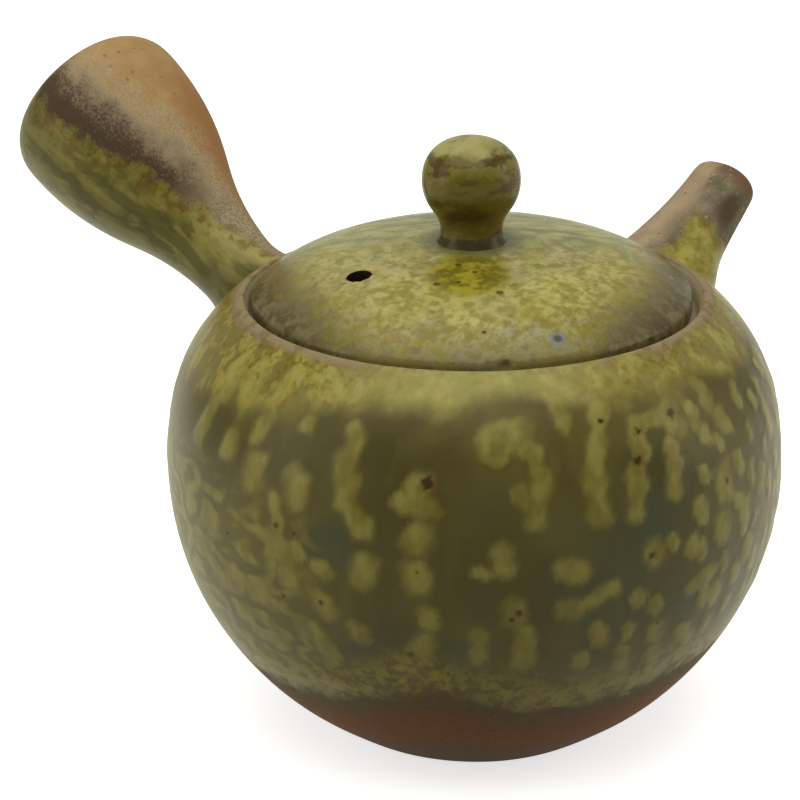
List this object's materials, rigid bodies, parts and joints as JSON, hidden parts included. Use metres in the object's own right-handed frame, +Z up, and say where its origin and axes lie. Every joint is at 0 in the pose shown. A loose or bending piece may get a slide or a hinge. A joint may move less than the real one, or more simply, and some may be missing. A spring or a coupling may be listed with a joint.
{
  "type": "side-handled teapot",
  "caption": "Round stoneware teapot with a hollow side handle, a short rising spout, a pierced strainer behind it and a domed lift-off lid with a round knob.",
  "frame": {"origin": "centre of the flat foot, on the table", "axes": "+Z up, +X out along the spout seen from above, +Y out along the handle seen from above"},
  "size_m": [0.1172, 0.1417, 0.098],
  "materials": {
    "pot_glaze": "satin runny ash glaze over brown stoneware, bare at the foot and the rim",
    "spout_clay": "bare brown stoneware with a patch of ash glaze",
    "bare_clay": "bare matt stoneware",
    "handle_clay": "ash glaze on one side, bare stoneware on the other",
    "lid_glaze": "satin mottled ash glaze",
    "knob_glaze": "satin mottled ash glaze"
  },
  "bodies": {
    "pot": {"body": "pot_glaze", "spout": "spout_clay", "strainer": "bare_clay", "handle": "handle_clay"},
    "cover": {"lid": "lid_glaze", "knob": "knob_glaze"}
  },
  "joints": [
    {"name": "lid_lift", "type": "slide", "parent": "pot", "child": "cover", "axis": [0, 0, 1], "range_m": [0, 0.06]}
  ]
}
